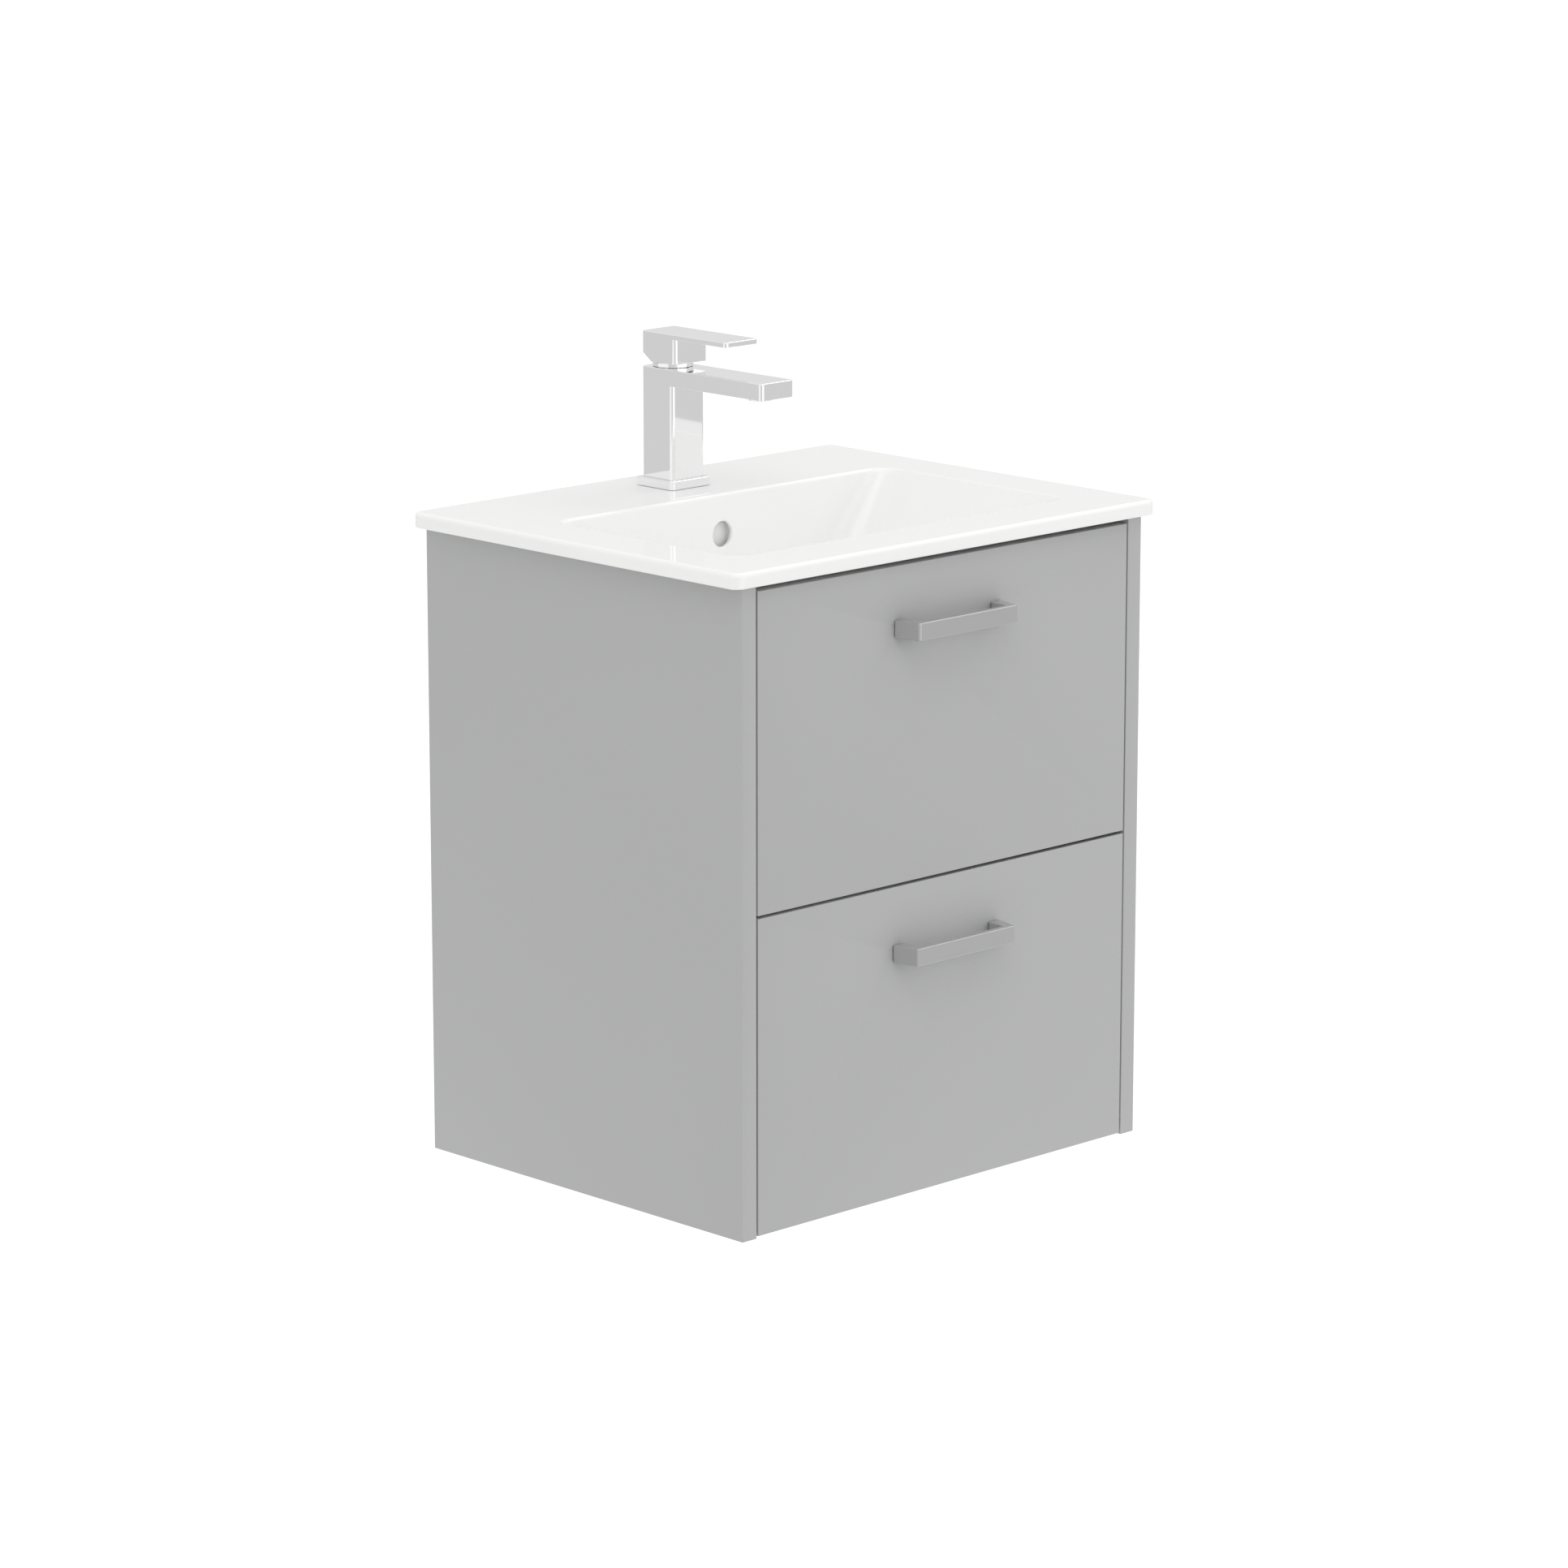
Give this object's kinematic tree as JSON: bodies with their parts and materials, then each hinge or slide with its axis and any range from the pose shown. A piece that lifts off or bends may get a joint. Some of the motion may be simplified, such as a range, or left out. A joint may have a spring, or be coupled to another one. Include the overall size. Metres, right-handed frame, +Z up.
{
  "type": "bathroom vanity cabinet",
  "caption": "Wall-hung bathroom vanity: grey cabinet with stacked drawers and bar handles, inset ceramic basin, square lever mixer tap and click-clack waste.",
  "frame": {"origin": "centre of the wall rail's back face, which lies on the wall", "axes": "+Z up, +Y into the wall, and the drawers face -Y; X runs across the width with the middle at 0"},
  "size_m": [0.558, 0.4663, 0.7792],
  "materials": {
    "grey_board": "satin mid-grey lacquer on faced board",
    "box_board": "light grey melamine-faced board",
    "glazed_ceramic": "gloss white glaze",
    "chrome": "polished",
    "satin_chrome": "satin",
    "zinc_steel": "zinc plated",
    "black_rubber": "matt",
    "white_plastic": "moulded",
    "brass": "machined"
  },
  "bodies": {
    "carcass": {"side_panel_left": "grey_board", "side_panel_right": "grey_board", "bottom_panel": "grey_board", "front_rail": "grey_board", "back_rail_upper": "grey_board", "back_rail_lower": "grey_board", "wall_rail": "zinc_steel", "hanging_bracket_left": "zinc_steel", "hanging_bracket_right": "zinc_steel", "upper_runner_fixed_left": "zinc_steel", "upper_runner_fixed_right": "zinc_steel", "lower_runner_fixed_left": "zinc_steel", "lower_runner_fixed_right": "zinc_steel", "basin": "glazed_ceramic", "waste_body": "chrome", "waste_washer": "black_rubber", "waste_nut": "brass", "tap_plinth": "chrome", "tap_body": "chrome", "tap_aerator": "chrome", "tap_cartridge": "white_plastic", "tap_collar": "chrome", "tap_seal": "black_rubber", "tap_clamp_plate": "zinc_steel", "tap_stud": "zinc_steel", "tap_clamp_nut": "brass"},
    "upper_drawer": {"upper_drawer_front": "grey_board", "upper_handle": "satin_chrome", "upper_handle_screw_left": "zinc_steel", "upper_handle_screw_right": "zinc_steel", "upper_drawer_side_left": "box_board", "upper_drawer_side_right": "box_board", "upper_drawer_back_left": "box_board", "upper_drawer_back_right": "box_board", "upper_drawer_recess_left": "box_board", "upper_drawer_recess_right": "box_board", "upper_drawer_recess_front": "box_board", "upper_drawer_bottom": "box_board", "upper_runner_drawer_left": "zinc_steel", "upper_runner_drawer_right": "zinc_steel"},
    "upper_runner_middles": {"upper_runner_middle_left": "zinc_steel", "upper_runner_middle_right": "zinc_steel"},
    "lower_drawer": {"lower_drawer_front": "grey_board", "lower_handle": "satin_chrome", "lower_handle_screw_left": "zinc_steel", "lower_handle_screw_right": "zinc_steel", "lower_drawer_side_left": "box_board", "lower_drawer_side_right": "box_board", "lower_drawer_back": "box_board", "lower_drawer_bottom": "box_board", "lower_runner_drawer_left": "zinc_steel", "lower_runner_drawer_right": "zinc_steel"},
    "lower_runner_middles": {"lower_runner_middle_left": "zinc_steel", "lower_runner_middle_right": "zinc_steel"},
    "waste_plug": {"waste_plug": "chrome"},
    "tap_spindle": {"tap_spindle": "brass"},
    "tap_lever": {"tap_lever": "chrome"}
  },
  "joints": [
    {"name": "upper_drawer_slide", "type": "slide", "parent": "carcass", "child": "upper_drawer", "axis": [0, -1, 0], "range_m": [0, 0.34]},
    {"name": "upper_runner_slide", "type": "slide", "parent": "carcass", "child": "upper_runner_middles", "axis": [0, -1, 0], "range_m": [0, 0.17]},
    {"name": "lower_drawer_slide", "type": "slide", "parent": "carcass", "child": "lower_drawer", "axis": [0, -1, 0], "range_m": [0, 0.34]},
    {"name": "lower_runner_slide", "type": "slide", "parent": "carcass", "child": "lower_runner_middles", "axis": [0, -1, 0], "range_m": [0, 0.17]},
    {"name": "plug_press", "type": "slide", "parent": "carcass", "child": "waste_plug", "axis": [0, 0, 1], "range_m": [0, 0.008]},
    {"name": "tap_temperature", "type": "hinge", "parent": "carcass", "child": "tap_spindle", "pos_m": [0, -0.066, 0.1659], "axis": [0, 0, 1], "range_deg": [-45, 45]},
    {"name": "tap_flow", "type": "hinge", "parent": "tap_spindle", "child": "tap_lever", "pos_m": [0, -0.066, 0.1659], "axis": [-1, 0, 0], "range_deg": [0, 20]}
  ],
  "couplings": [
    {"joint": "upper_runner_slide", "follows": "upper_drawer_slide", "ratio": 0.5},
    {"joint": "lower_runner_slide", "follows": "lower_drawer_slide", "ratio": 0.5}
  ]
}
